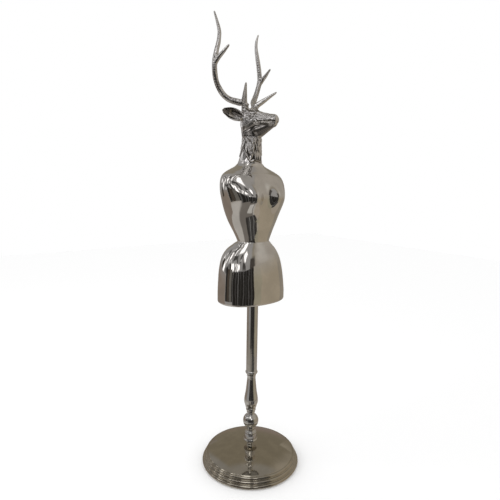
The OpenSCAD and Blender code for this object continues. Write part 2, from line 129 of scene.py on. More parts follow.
def make_world():
    """White to the eye and to the floor; to the polished metal, a made-up room that only it mirrors."""
    world = bpy.data.worlds.new("studio")
    bpy.context.scene.world = world
    world.use_nodes = True
    n = Nodes(world.node_tree)
    coords = n.add("ShaderNodeTexCoord").outputs["Generated"]
    spin = {"Vector": coords, "Angle": camera_turn}
    turned = n.add("ShaderNodeVectorRotate", spin, rotation_type="Z_AXIS").outputs[0]
    xyz = n.add("ShaderNodeSeparateXYZ", {0: turned}).outputs
    # side: 0 behind the camera, +90 to its right; rise: degrees above the horizon
    side = n.math("MULTIPLY", n.math("ARCTAN2", xyz[0], n.math("MULTIPLY", xyz[1], -1.0)), 180.0 / math.pi)
    rise = n.math("MULTIPLY", n.math("ARCSINE", xyz[2]), 180.0 / math.pi)

    def card(colour, below, low_side, high_side, low_rise, high_rise, soft=3.0):
        left = n.ramp(side, low_side - soft, low_side + soft)
        right = n.ramp(side, high_side + soft, high_side - soft)
        bottom = n.ramp(rise, low_rise - soft, low_rise + soft)
        top = n.ramp(rise, high_rise + soft, high_rise - soft)
        inside = n.math("MULTIPLY", n.math("MULTIPLY", left, right), n.math("MULTIPLY", bottom, top))
        return n.mix(inside, below, colour)

    def spots(across, tall, seed, low, high):
        """Uneven patches over the room, from 0 to 1."""
        place = {0: n.math("MULTIPLY", side, 1 / across), 1: n.math("MULTIPLY", rise, 1 / tall), 2: seed}
        return n.ramp(n.noise(n.add("ShaderNodeCombineXYZ", place).outputs[0], 1.0, 1.0), low, high)

    room = (0.280, 0.250, 0.200)
    room = card((0.30, 0.25, 0.225), room, 43, 400, -24, 10, 8.0)
    room = card((0.41, 0.375, 0.330), room, 52, 150, 1, 60, 9.0)
    room = card((0.53, 0.50, 0.455), room, 58, 84, 15, 34, 12.0)
    room = card((0.28, 0.235, 0.195), room, -400, -66, -24, 6, 4.0)
    room = card((0.34, 0.33, 0.325), room, -150, 43, -20, 95, 3.0)
    room = card((0.34, 0.325, 0.31), room, -400, 400, 58, 95, 4.0)
    room = card((0.50, 0.475, 0.445), room, -400, 400, -95, -24, 4.0)
    room = card((0.42, 0.365, 0.30), room, 56, 400, -60, -24, 5.0)
    room = card((0.19, 0.172, 0.155), room, -40, 48, -95, -24, 6.0)
    room = card((0.56, 0.54, 0.51), room, 8, 42, -78, -55, 2.0)
    room = card((0.045, 0.042, 0.038), room, 2, 57, -47, -20, 1.5)
    for at, width, glow in ((14, 3, 0.09), (21, 6, 0.20), (33, 3, 0.08), (42, 5, 0.16)):
        room = card((glow, glow * 0.97, glow * 0.95), room, at, at + width, -46, -22, 0.8)
    room = card((0.070, 0.062, 0.055), room, 34, 50, 3, 24, 2.0)
    # Dark and bright patches high on the left, save in a calm part overhead
    left_half = n.math("MULTIPLY", n.ramp(side, -130.0, -110.0), n.ramp(side, 30.0, 20.0))
    upper = n.math("MULTIPLY", n.ramp(rise, -10.0, 6.0), left_half)
    calm = n.math("MULTIPLY", n.ramp(rise, 38.0, 48.0), n.ramp(side, -40.0, -30.0))
    upper = n.math("MULTIPLY", upper, n.math("SUBTRACT", 1.0, calm))
    dark_spots = n.math("MULTIPLY", upper, spots(14.0, 22.0, 3.0, 0.52, 0.62))
    bright_spots = n.math("MULTIPLY", upper, spots(10.0, 24.0, 7.0, 0.55, 0.63))
    room = n.mix(dark_spots, room, (0.07, 0.066, 0.062))
    room = n.mix(bright_spots, room, (1.9, 1.86, 1.86))
    room = card((1.7, 1.68, 1.68), room, -26, 2, 46, 74, 3.0)
    seen = n.add("ShaderNodeLightPath").outputs["Is Glossy Ray"]
    white = n.add("ShaderNodeBackground", {"Color": (1.0, 1.0, 1.0, 1.0), "Strength": 1.0})
    cards = n.add("ShaderNodeBackground", {"Color": room, "Strength": 1.0})
    both = n.add("ShaderNodeMixShader", {0: seen, 1: white.outputs[0], 2: cards.outputs[0]})
    n.add("ShaderNodeOutputWorld", {0: both.outputs[0]})


# Cards standing round the object, seen only in the polish. Places and colours were set by trial,
# until the main view's reflections looked right, so they suit that view and no other.
# Side from, side to (degrees), foot and top (m), distance (m), colour, colour at the top
DARK = (0.022, 0.020, 0.018)
BEIGE = (0.385, 0.330, 0.250)
PALE = (0.410, 0.375, 0.325)
CARDS = [
    (-78, -36, 0.05, 1.250, 2.50, DARK, DARK),
    (-37, 45, -0.50, 1.250, 2.50, DARK, DARK),
    (-68, -55, 0.05, 1.250, 2.47, (0.070, 0.057, 0.045), (0.070, 0.057, 0.045)),
    (-54, -41, 0.05, 1.290, 2.46, (0.150, 0.140, 0.125), (0.150, 0.140, 0.125)),
    (-37, -33, -0.50, 1.280, 2.46, (0.100, 0.097, 0.095), (0.150, 0.140, 0.125)),
    (-21, -17, -0.50, 1.250, 2.46, (0.060, 0.058, 0.055), (0.100, 0.097, 0.095)),
    (-11, -8, -0.50, 1.260, 2.46, (0.120, 0.117, 0.115), (0.180, 0.177, 0.175)),
    (-2, 1, -0.50, 1.250, 2.46, (0.040, 0.038, 0.035), (0.100, 0.097, 0.095)),
    (9, 11, -0.50, 1.250, 2.46, (0.110, 0.107, 0.105), (0.150, 0.147, 0.145)),
    (18, 21, -0.50, 1.230, 2.46, (0.045, 0.043, 0.042), (0.045, 0.043, 0.042)),
    (28, 30, -0.50, 1.270, 2.46, (0.100, 0.097, 0.095), (0.160, 0.157, 0.155)),
    (36, 39, -0.50, 1.250, 2.46, (0.060, 0.058, 0.055), (0.060, 0.058, 0.055)),
    (45, 63, -0.60, 1.300, 2.60, (0.340, 0.308, 0.232), PALE),
    (63, 116, -0.60, 1.300, 2.60, BEIGE, PALE),
    (116, 160, -0.60, 1.300, 2.60, (0.310, 0.275, 0.225), PALE),
    (-160, -80, -0.60, 0.850, 2.60, (0.260, 0.215, 0.180), (0.300, 0.275, 0.260)),
    (-114, -104, 0.86, 1.110, 1.00, (0.060, 0.050, 0.040), (0.060, 0.050, 0.040)),
]


def make_cards():
    """Curved cards in one mesh, each lit by its own colour and blending upwards to its top colour."""
    blend_from = 0.72
    points, faces, glow = [], [], []
    for low_side, high_side, foot, top, distance, colour, top_colour in CARDS:
        steps = max(2, int((high_side - low_side) / 6))
        start = len(points)
        for k in range(steps + 1):
            a = math.radians(low_side + (high_side - low_side) * k / steps) - camera_turn
            x, y = math.sin(a) * distance, -math.cos(a) * distance
            points += [(x, y, foot), (x, y, foot + (top - foot) * blend_from), (x, y, top)]
            glow += [(*colour, 1.0), (*colour, 1.0), (*top_colour, 1.0)]
        for k in range(steps):
            a, b = start + 3 * k, start + 3 * k + 3
            faces += [(a, b, b + 1, a + 1), (a + 1, b + 1, b + 2, a + 2)]
    mesh = bpy.data.meshes.new("cards")
    mesh.from_pydata(points, [], faces)
    layer = mesh.attributes.new("glow", "FLOAT_COLOR", "POINT")
    layer.data.foreach_set("color", np.array(glow, np.float32).ravel())
    cards = bpy.data.objects.new("cards", mesh)
    bpy.context.scene.collection.objects.link(cards)
    material = bpy.data.materials.new("cards")
    material.use_nodes = True
    n = Nodes(material.node_tree)
    colour = n.add("ShaderNodeAttribute", attribute_name="glow").outputs["Color"]
    n.add("ShaderNodeOutputMaterial", {0: n.add("ShaderNodeEmission", {"Color": colour}).outputs[0]})
    mesh.materials.append(material)
    cards.visible_camera = cards.visible_diffuse = cards.visible_shadow = False
    cards.visible_transmission = cards.visible_volume_scatter = False


def make_floor():
    mesh = bpy.data.meshes.new("floor")
    r = 6.0
    mesh.from_pydata([(-r, -r, 0), (r, -r, 0), (r, r, 0), (-r, r, 0)], [], [(0, 1, 2, 3)])
    floor = bpy.data.objects.new("floor", mesh)
    bpy.context.scene.collection.objects.link(floor)
    material = bpy.data.materials.new("floor")
    material.use_nodes = True
    n = Nodes(material.node_tree)
    paint = n.add("ShaderNodeBsdfDiffuse", {"Color": (0.98, 0.98, 0.98, 1.0)})
    n.add("ShaderNodeOutputMaterial", {0: paint.outputs[0]})
    mesh.materials.append(material)
    floor.visible_glossy = False


def make_light():
    """One broad soft light from the left, for the faint shadow beside the base."""
    data = bpy.data.lights.new("key", "AREA")
    data.shape, data.size, data.size_y = "RECTANGLE", 1.6, 1.2
    data.energy = 12.0
    light = bpy.data.objects.new("key", data)
    place = Matrix.Rotation(-camera_turn, 3, "Z") @ Vector((-2.2, -0.6, 2.4))
    light.location = place
    light.rotation_euler = (Vector((0.0, 0.0, 0.3)) - place).to_track_quat("-Z", "Y").to_euler()
    light.visible_glossy = False
    bpy.context.scene.collection.objects.link(light)


make_world()
make_cards()
make_floor()
make_light()
bpy.context.scene.view_settings.view_transform = "Standard"


# ------------------------------------------------------------------ materials

def metal(name, colour, rough=(0.05, 0.12), wave=0.0, wave_scale=18.0, grain=0.0, dark=None, hollow_and_shade_strength=0.0):
    """Polished metal: cloudy roughness, slow waves in the polish, fine grain, and a darker colour in hollows
    and in painted shade.
    """
    material = bpy.data.materials.new(name)
    material.use_nodes = True
    n = Nodes(material.node_tree)
    place = n.add("ShaderNodeTexCoord").outputs["Object"]
    cloud = n.noise(place, 22.0, 3.0)
    spots = n.noise(place, 160.0, 2.0)
    tint = tuple(c * 0.90 for c in colour)
    base = n.mix(n.ramp(cloud, 0.35, 0.70), tint, colour)
    if dark is not None:
        # A mesh attribute darkens the colour in the relief's hollows, and paints shade under the jaw and
        # inside the ears.
        hollow_and_painted_shade = n.add("ShaderNodeAttribute", attribute_name="hollow_and_painted_shade").outputs["Fac"]
        base = n.mix(n.math("MULTIPLY", hollow_and_painted_shade, hollow_and_shade_strength), base, dark)
    low, high = rough
    uneven = n.math("ADD", n.math("MULTIPLY", cloud, 0.7), n.math("MULTIPLY", spots, 0.3))
    spread = {"Value": uneven, "From Min": 0.3, "From Max": 0.7, "To Min": low, "To Max": high}
    roughness = n.add("ShaderNodeMapRange", spread)
    normal = None
    for scale, depth in ((wave_scale, wave), (420.0, grain)):
        if depth:
            inputs = {"Height": n.noise(place, scale, 1.5), "Strength": 1.0, "Distance": depth}
            if normal is not None:
                inputs["Normal"] = normal
            normal = n.add("ShaderNodeBump", inputs).outputs[0]
    inputs = {"Base Color": base, "Metallic": 1.0, "Roughness": roughness.outputs[0]}
    if normal is not None:
        inputs["Normal"] = normal
    shader = n.add("ShaderNodeBsdfPrincipled", inputs)
    n.add("ShaderNodeOutputMaterial", {0: shader.outputs[0]})
    return material


def dull(name, colour, rough, grain):
    """Rubber, nylon or rough iron: mottled and matt."""
    material = bpy.data.materials.new(name)
    material.use_nodes = True
    n = Nodes(material.node_tree)
    place = n.add("ShaderNodeTexCoord").outputs["Object"]
    speck = n.noise(place, 300.0, 4.0)
    base = n.mix(speck, tuple(c * 0.75 for c in colour), colour)
    bump = n.add("ShaderNodeBump", {"Height": speck, "Strength": 0.6, "Distance": grain})
    inputs = {"Base Color": base, "Roughness": rough, "Normal": bump.outputs[0]}
    shader = n.add("ShaderNodeBsdfPrincipled", inputs)
    n.add("ShaderNodeOutputMaterial", {0: shader.outputs[0]})
    return material


MATERIALS = {
    "nickel_casting": metal("nickel_casting", (0.74, 0.72, 0.69), (0.03, 0.09), 0.0007, 14.0, 0.00001),
    # Chased nickel: its dark colour fills the relief's hollows and is painted shade under the jaw and inside
    # the ears.
    "nickel_chased": metal(
        "nickel_chased", (0.76, 0.745, 0.73), (0.10, 0.20), 0.0003, 60.0, 0.00001, (0.10, 0.085, 0.07), 0.82),
    "nickel_turned": metal("nickel_turned", (0.72, 0.71, 0.69), (0.05, 0.12), 0.0002, 40.0, 0.00001),
    "nickel_tube": metal("nickel_tube", (0.70, 0.69, 0.67), (0.06, 0.13), 0.0003, 30.0, 0.00001),
    # Base plate: the nickel is tinted darker and olive, a painted reflection of the dark olive room that the
    # plate mirrors.
    "base_plate": metal("base_plate", (0.53, 0.49, 0.41), (0.05, 0.10), 0.0003, 12.0, 0.00001),
    "steel_fitting": metal("steel_fitting", (0.50, 0.51, 0.53), (0.25, 0.40), 0.0001, 60.0, 0.00004),
    "ballast_iron": dull("ballast_iron", (0.09, 0.085, 0.08), 0.75, 0.0004),
    "black_rubber": dull("black_rubber", (0.03, 0.03, 0.03), 0.85, 0.0001),
    "nylon": dull("nylon", (0.62, 0.60, 0.55), 0.55, 0.00005),
}


# ------------------------------------------------------------------ mesh helpers

def piece(name, points, faces, body, slot, replaces=(), smooth=True, hollow_and_painted_shade=None):
    """A new mesh piece that rides on a body and stands for CAD nodes."""
    mesh = bpy.data.meshes.new(name)
    mesh.from_pydata(np.asarray(points, float).tolist(), [], list(map(list, faces)))
    mesh.validate()
    mesh.materials.append(MATERIALS[slot])
    if smooth:
        mesh.shade_smooth()
    if hollow_and_painted_shade is not None:
        layer = mesh.attributes.new("hollow_and_painted_shade", "FLOAT", "POINT")
        layer.data.foreach_set("value", np.asarray(hollow_and_painted_shade, np.float32))
    obj = bpy.data.objects.new(name, mesh)
    bpy.context.scene.collection.objects.link(obj)
    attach(obj, body)
    if replaces:
        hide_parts(*replaces)
    return obj


def grid_faces(rows, columns, around=True, closed=False):
    """Quads of a grid of points; around joins a row's end to its start, closed joins last row to first."""
    down = np.arange(rows if closed else rows - 1)
    along = np.arange(columns if around else columns - 1)
    i, j = np.meshgrid(down, along, indexing="ij")
    k, h = (j + 1) % columns, (i + 1) % rows
    return np.stack([i * columns + j, i * columns + k, h * columns + k, h * columns + j], -1).reshape(-1, 4)


def smooth_curve(stations, steps):
    """Catmull-Rom curve through rows of numbers, with steps a span."""
    p = np.asarray(stations, float)
    p = np.vstack([p[:1], p, p[-1:]])
    u = np.arange(steps)[:, None] / steps
    spans = []
    for a, b, c, d in zip(p[:-3], p[1:-2], p[2:-1], p[3:]):
        spans.append(b + 0.5 * u * (c - a + u * (2 * a - 5 * b + 4 * c - d + u * (3 * (b - c) + d - a))))
    return np.vstack(spans + [p[-1:]])


def lattice(cell, seed):
    """A repeatable random number from -1 to 1 for each whole-numbered cell."""
    x, y, z = (cell[..., i].astype(np.int64) for i in range(3))
    h = (x * 374761393 + y * 668265263 + z * 2147483647 + seed * 1274126177) & 0x7FFFFFFF
    h = ((h ^ (h >> 13)) * 1274126177) & 0x7FFFFFFF
    return ((h ^ (h >> 16)) & 0xFFFFFF) / 0x7FFFFF - 1.0


def value_noise(points, size, seed=0):
    """Smooth noise of about -1 to 1 with features of the given size (one number, or x, y, z)."""
    p = points / np.asarray(size, float)
    cell = np.floor(p)
    f = p - cell
    f = f * f * (3 - 2 * f)
    total = 0.0
    for corner in np.ndindex(2, 2, 2):
        weight = np.prod(np.where(np.array(corner) == 1, f, 1 - f), axis=-1)
        total = total + weight * lattice(cell + np.array(corner), seed)
    return total


def lathe(name, outline, body, slot, replaces, segments=192, closed=True, centre=(0.0, 0.0, 0.0)):
    """Turned piece from outline points [radius, height]."""
    outline = np.asarray(outline, float)
    angle = np.linspace(0, 2 * np.pi, segments, endpoint=False)
    r, z = outline[:, :1], outline[:, 1:]
    points = np.stack([r * np.cos(angle), r * np.sin(angle), np.broadcast_to(z, (len(r), segments))], -1)
    faces = grid_faces(len(outline), segments, closed=closed)
    return piece(name, points.reshape(-1, 3) + np.array(centre), faces, body, slot, replaces)


def arc(centre, radius, start, end, steps):
    """Points [r, z] on a round from start to end, in degrees."""
    a = np.radians(np.linspace(start, end, steps))
    return np.stack([centre[0] + radius * np.cos(a), centre[1] + radius * np.sin(a)], -1)


def smoothstep(x, low, high):
    t = np.clip((x - low) / (high - low), 0.0, 1.0)
    return t * t * (3 - 2 * t)


# ------------------------------------------------------------------ stand

BASE_R, BEAD_LOW, BEAD_STACK, BEAD_STEP, DOME_TOP = 200.0, 2.0, 41.0, 7.0, 70.0
ROD_HOLE, PAD_T, BASE_WALL = 6.5, 3.0, 3.0


def base_outline():
    """Three round beads, a fine groove, then the low dome and the wall beneath."""
    bead = BEAD_STACK / 3
    top = BEAD_LOW + BEAD_STACK
    rim = BASE_R - 2 * BEAD_STEP - bead / 2
    rows = [np.array([[BASE_R - bead / 2 - BASE_WALL, BEAD_LOW]])]
    for k in range(3):
        centre = (BASE_R - k * BEAD_STEP - bead / 2, BEAD_LOW + (k + 0.5) * bead)
        rows.append(arc(centre, bead / 2, -90, 82, 20))
    rows.append(np.array([[rim - 0.8, top - 0.7], [rim - 1.6, top - 0.9], [rim - 2.4, top - 0.2]]))
    s = np.linspace(rim - 3.2, ROD_HOLE, 60)
    dome = top + (DOME_TOP - top) * (1 - (s / rim) ** 2.4)
    rows.append(np.stack([s, dome], -1))
    s = np.linspace(ROD_HOLE, rim - 6, 12)
    rows.append(np.stack([s, top - BASE_WALL + (DOME_TOP - top) * (1 - (s / rim) ** 2.4)], -1))
    rows.append(np.array([[rim - 4, top - 9]]))
    return np.vstack(rows) * MM


def make_stand():
    lathe("base_casting", base_outline(), "stand", "base_plate", ("base_shell",), 288)
    foot = smooth_curve([
        [15.5, 69.5], [15, 76], [17, 82], [22.5, 87], [27.8, 90], [29, 93.5], [28.2, 97.5], [26.6, 100],
        [26.3, 103], [25, 114], [23.8, 121], [24.0, 124.5], [22.8, 127.2], [19.5, 128.4], [17, 131],
        [16.4, 137], [17.5, 143.5]], 6)
    neck = [[17.5, 143.5], [18.4, 145.5], [19.6, 147.5]]
    ball = arc((0, 176), 32, -60, 60, 40)
    collar = smooth_curve([
        [16, 210.5], [16.8, 212.5], [17.2, 215], [16.8, 217.5], [16.2, 219.3], [17.6, 220.6], [19.8, 223],
        [20.2, 227], [19.4, 230.6], [18.2, 233]], 5)
    vase = smooth_curve([
        [18.2, 233], [20.6, 234], [21.8, 236], [24.5, 246.6], [28, 258], [28.4, 267], [27.3, 280],
        [22.7, 308], [19.4, 339], [17.5, 358], [17.3, 368], [18.6, 375], [18.9, 377.5], [18.3, 380],
        [17.6, 382]], 8)
    bead = smooth_curve([
        [17.6, 382], [21.4, 382.8], [24.2, 386], [24.8, 389.5], [24.2, 393], [21.6, 396]], 6)
    for name, outline, node in (
        ("foot_turning", foot, "column_foot"),
        ("ball_turning", np.vstack([neck, ball, [[16, 207], [15.8, 208.5], [16, 210.5]]]), "column_ball"),
        ("ring_turning", collar, "ring_collar"),
        ("baluster_turning", vase, "baluster"),
        ("bead_turning", bead, "bead_ring"),
    ):
        bore = [[ROD_HOLE, outline[-1][1]], [ROD_HOLE, outline[0][1]]]
        lathe(name, np.vstack([outline, bore]) * MM, "stand", "nickel_turned", (node,), 128)
    low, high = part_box("pole_tube")
    r, wall, edge = high.x / MM, 1.75, 0.6
    z0, z1 = low.z / MM, high.z / MM
    tube = [[r - edge, z0], [r, z0 + edge]] + [[r, z] for z in np.linspace(z0 + 2, z1 - 2, 40)]
    tube += [[r, z1 - edge], [r - edge, z1], [r - wall, z1], [r - wall, z0]]
    lathe("pole", np.array(tube) * MM, "stand", "nickel_tube", ("pole_tube",), 128)


make_stand()


# ------------------------------------------------------------------ torso

HEM_Z, WAIST_Z, SEAT_Z, WALL = 690.0, 931.0, 1226.0, 4.0
HIP_A, HIP_D, HIP_BACK, HEM_ROUND = 142.0, 99.0, 11.0, 9.0
BREAST_X, BREAST_Z, BREAST_OUT = 56.0, 1098.0, 28.0
BREAST_IN, BREAST_SIDE, BREAST_UP, BREAST_DOWN = 36.0, 62.0, 58.0, 44.0
# Height, half-width, half-depth, setback: worked out from a program's list of widths, and rounded
HIPS = [
    [728, 142, 99, 11], [773, 139, 97, 13], [816, 134, 95, 16], [855, 125, 90, 18], [881, 113, 83, 18],
    [901, 98, 73, 15], [916, 81, 61, 9], [923, 74, 55, 6], [928, 67, 50, 3], [931, 65.5, 49, 2.5]]
BODICE = [
    [931, 65.5, 49, 2.5], [935, 67, 50, 3], [945, 71, 53, 4], [971, 82, 62, 7], [1013, 102, 76, 11],
    [1055, 118, 84, 12], [1105, 131, 87, 13], [1135, 135, 86, 14], [1160, 133, 82, 17], [1180, 124, 75, 22],
    [1195, 104, 65, 29], [1207, 79, 56, 32], [1216, 60, 50, 33], [1226, 49, 46, 33]]


def breasts(x, z):
    """How far the front stands out: a longer slope above each breast than below."""
    tall = np.where(z < BREAST_Z, BREAST_DOWN, BREAST_UP)
    rise = np.exp(-((z - BREAST_Z) / tall) ** 2)
    pair = 0.0
    for away in (x - BREAST_X, -x - BREAST_X):
        pair = pair + np.exp(-(away / np.where(away > 0, BREAST_SIDE, BREAST_IN)) ** 2)
    return BREAST_OUT * pair * rise


def torso_rings(stations, columns, inset=0.0, shaped=True):
    """Rings of a superellipse through the stations, with the front shaped."""
    s = np.asarray(stations, float)
    t = np.linspace(0, 2 * np.pi, columns, endpoint=False)
    c, d = np.cos(t), np.sin(t)
    bend = 2 / 2.2
    x = (s[:, 1:2] - inset) * np.sign(c) * np.abs(c) ** bend
    y = (s[:, 2:3] - inset) * np.sign(d) * np.abs(d) ** bend
    z = np.broadcast_to(s[:, :1], x.shape)
    if shaped:
        y = y - smoothstep(-d, 0.0, 0.75) * breasts(x, z)
    return np.stack([x, y + s[:, 3:4], z], -1)


def dented(points, depth, seed):
    """Slow hand-finished waviness of a casting, with a finer ripple from the polishing."""
    flat = points.reshape(-1, 3)
    x, y, z = flat.T
    wave = value_noise(flat, (60.0, 60.0, 75.0), seed)
    wave = wave + 0.5 * value_noise(flat, (27.0, 27.0, 34.0), seed + 1)
    chest = smoothstep(z, 905, 1080) * smoothstep(z, 1210, 1140)
    worked = smoothstep(z, 800, 850) * (1 - chest)
    dimples = np.exp(-((x - 60) / 26) ** 2 - ((z - BREAST_Z) / 30) ** 2) * (y < 0)
    wave = wave + (0.05 + 0.20 * worked) * value_noise(flat, (11.0, 11.0, 14.0), seed + 2)
    wave = wave + 0.55 * dimples * value_noise(flat, (13.0, 13.0, 17.0), seed + 3)
    centre = np.array([0.0, 15.0, 0.0])
    out = (flat - centre) * [1, 1, 0]
    out /= np.linalg.norm(out, axis=1, keepdims=True)
    return (flat + out * (wave * depth)[:, None]).reshape(points.shape)


def make_torso():
    columns = 240
    a = np.radians(np.arange(84, -1, -12))
    pull = HEM_ROUND * (1 - np.cos(a))
    height = HEM_Z + HEM_ROUND * (1 - np.sin(a))
    hem = np.stack([height, HIP_A - pull, HIP_D - pull, np.full(len(a), HIP_BACK)], -1)
    outer = np.vstack([hem, [[712, HIP_A, HIP_D, HIP_BACK]], smooth_curve(HIPS, 14)])
    skin = dented(torso_rings(outer, columns), 0.5, 11)
    keep = smoothstep(outer[:, 0], WAIST_Z, WAIST_Z - 16)[:, None, None]
    skin = torso_rings(outer, columns) * (1 - keep) + skin * keep
    lining = torso_rings(outer[::-6], columns, WALL)
    lip = torso_rings([[HEM_Z + 4, HIP_A - 1, HIP_D - 1, HIP_BACK]], columns, WALL)
    rings = np.vstack([skin, lining, lip])
    piece("hip_casting", rings.reshape(-1, 3) * MM, grid_faces(len(rings), columns, closed=True),
          "torso", "nickel_casting", ("hip_shell",))
    columns = 320
    outer = smooth_curve(BODICE, 16)
    skin = torso_rings(outer, columns)
    keep = smoothstep(outer[:, 0], WAIST_Z, WAIST_Z + 19) * smoothstep(outer[:, 0], SEAT_Z, SEAT_Z - 21)
    keep = keep[:, None, None]
    skin = skin * (1 - keep) + dented(skin, 0.5, 23) * keep
    seat = torso_rings([[SEAT_Z, 6.5, 6.5, 22], [SEAT_Z - WALL, 6.5, 6.5, 22]], columns, 0.0, False)
    lining = torso_rings(outer[-17::-8], columns, WALL)
    rings = np.vstack([skin, seat, lining, torso_rings([BODICE[0]], columns, WALL)])
    piece("bodice_casting", rings.reshape(-1, 3) * MM, grid_faces(len(rings), columns, closed=True),
          "torso", "nickel_casting", ("bodice_shell",))


make_torso()


# ------------------------------------------------------------------ sculpting helpers

def ellipsoid(p, centre, radii):
    q = (p - np.array(centre, np.float32)) / np.array(radii, np.float32)
    k = np.linalg.norm(q, axis=-1)
    return k * (k - 1) / (np.linalg.norm(q / np.array(radii, np.float32), axis=-1) + 1e-6)


def cone(p, a, ra, b, rb):
    """Round-ended cone from a to b."""
    a, b = np.array(a, np.float32), np.array(b, np.float32)
    h = np.clip((p - a) @ (b - a) / np.dot(b - a, b - a), 0, 1)
    return np.linalg.norm(p - a - h[..., None] * (b - a), axis=-1) - (ra + (rb - ra) * h)


def join(a, b, blend):
    h = np.clip(blend - np.abs(a - b), 0, None) / blend
    return np.minimum(a, b) - h * h * blend / 4


def carve(a, b, blend):
    return -join(-a, b, blend)


def stroke(p, points, blend=1.0):
    """Bent round line through points [x, y, z, radius]."""
    field = None
    for a, b in zip(points[:-1], points[1:]):
        part = cone(p, a[:3], a[3], b[:3], b[3])
        field = part if field is None else join(field, part, blend)
    return field


def sample_grid(low, high, step):
    axes = [np.arange(a, b + step, step, dtype=np.float32) for a, b in zip(low, high)]
    return np.stack(np.meshgrid(*axes, indexing="ij"), -1)


def net(field, low, step):
    """Quads on the zero surface of a sampled field, one point in each cell that it crosses."""
    shape = np.array(field.shape) - 1
    total, count = np.zeros((shape.prod(), 3)), np.zeros(shape.prod())
    quads = []
    for axis in range(3):
        order = [axis] + [other for other in range(3) if other != axis]
        f = np.transpose(field, order)
        edge = np.nonzero((f[:-1] < 0) != (f[1:] < 0))
        a, b = f[edge], f[edge[0] + 1, edge[1], edge[2]]
        place = np.zeros((len(a), 3))
        for k in range(3):
            place[:, order[k]] = edge[k]
        place[:, axis] += a / (a - b)
        cells, inside = [], np.ones(len(a), bool)
        for shift in ((1, 1), (0, 1), (0, 0), (1, 0)):
            cell = np.zeros((len(a), 3), int)
            cell[:, order[0]] = edge[0]
            cell[:, order[1]] = edge[1] - shift[0]
            cell[:, order[2]] = edge[2] - shift[1]
            good = ((cell >= 0) & (cell < shape)).all(1)
            inside &= good
            flat = np.ravel_multi_index(np.where(good[:, None], cell, 0).T, shape)
            np.add.at(total, flat[good], place[good])
            np.add.at(count, flat[good], 1)
            cells.append(flat)
        quad = np.stack(cells, -1)[inside]
        turn = (a[inside] < 0) != (axis == 1)
        quads.append(np.where(turn[:, None], quad, quad[:, ::-1]))
    quads = np.vstack(quads)
    used, quads = np.unique(quads, return_inverse=True)
    points = np.array(low) + step * total[used] / count[used][:, None]
    return points, quads.reshape(-1, 4)


def normals(points, quads):
    a, b, c, d = (points[quads[:, i]] for i in range(4))
    face = np.cross(c - a, d - b)
    total = np.zeros_like(points)
    for i in range(4):
        np.add.at(total, quads[:, i], face)
    return total / np.linalg.norm(total, axis=1, keepdims=True)


def ridges(points, size, seed):
    """Sharp-crested noise from 0 to 1."""
    return 1 - np.abs(value_noise(points, size, seed))


# ------------------------------------------------------------------ head

HEAD_TURN = math.radians(17.0)
THROAT_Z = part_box("head_shell")[0].z / MM


def at(side, reach, height):
    """A place in the head's own frame: side to its left, reach ahead of the neck's axis."""
    return (side, -reach, height)


def head_to_object(points):
    c, s = math.cos(HEAD_TURN), math.sin(HEAD_TURN)
    return points @ np.array([[c, s, 0], [-s, c, 0], [0, 0, 1]])


def object_to_head(points):
    c, s = math.cos(HEAD_TURN), math.sin(HEAD_TURN)
    return points @ np.array([[c, -s, 0], [s, c, 0], [0, 0, 1]])


# The edge of the jaw from the throat to the chin: every reach, then every height
JAW_LINE = ((-54, -30, -5, 20, 48, 75, 95), (1338, 1342, 1352, 1364, 1373, 1368, 1362))


def bush_place(node):
    """Axis and top of an antler's bush, in the object's frame."""
    low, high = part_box(node)
    return np.array([(low.x + high.x) / 2, (low.y + high.y) / 2, high.z]) / MM


